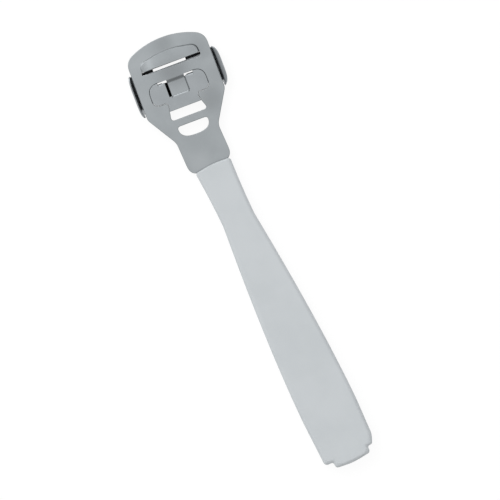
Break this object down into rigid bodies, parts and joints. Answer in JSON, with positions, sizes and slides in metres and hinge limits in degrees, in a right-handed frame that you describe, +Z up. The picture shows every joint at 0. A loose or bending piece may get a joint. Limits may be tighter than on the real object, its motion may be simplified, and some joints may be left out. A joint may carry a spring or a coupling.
{
  "type": "callus cutter",
  "caption": "Hand tool for shaving hard skin: a flat pressed-steel head with a raised hood over its mouth, a replaceable blade and a hooked spring clip, on a waisted moulded handle.",
  "frame": {"origin": "on the handle's flat underside, at the middle of the handle's length", "axes": "+X along the handle towards the tip of the head, +Y to the left as the tool points away, +Z up, out of the working face"},
  "size_m": [0.1917, 0.0396, 0.007],
  "materials": {
    "handle_plastic": "satin moulded, pale grey-white",
    "plate_steel": "satin plated pressing",
    "clip_steel": "satin spring steel",
    "blade_steel": "ground and polished"
  },
  "bodies": {
    "frame": {"handle": "handle_plastic", "head_plate": "plate_steel"},
    "clip": {"blade_clip": "clip_steel"},
    "blade": {"blade": "blade_steel"}
  },
  "joints": [
    {"name": "clip_hinge", "type": "hinge", "parent": "frame", "child": "clip", "pos_m": [0.09823, -0.00149, 0.00365], "axis": [0.0854, 0.9963, 0], "range_deg": [0, 30], "stiffness_Nm_per_rad": 0.03},
    {"name": "blade_slide", "type": "slide", "parent": "clip", "child": "blade", "axis": [0.9963, -0.0854, 0], "range_m": [0, 0.024]}
  ]
}
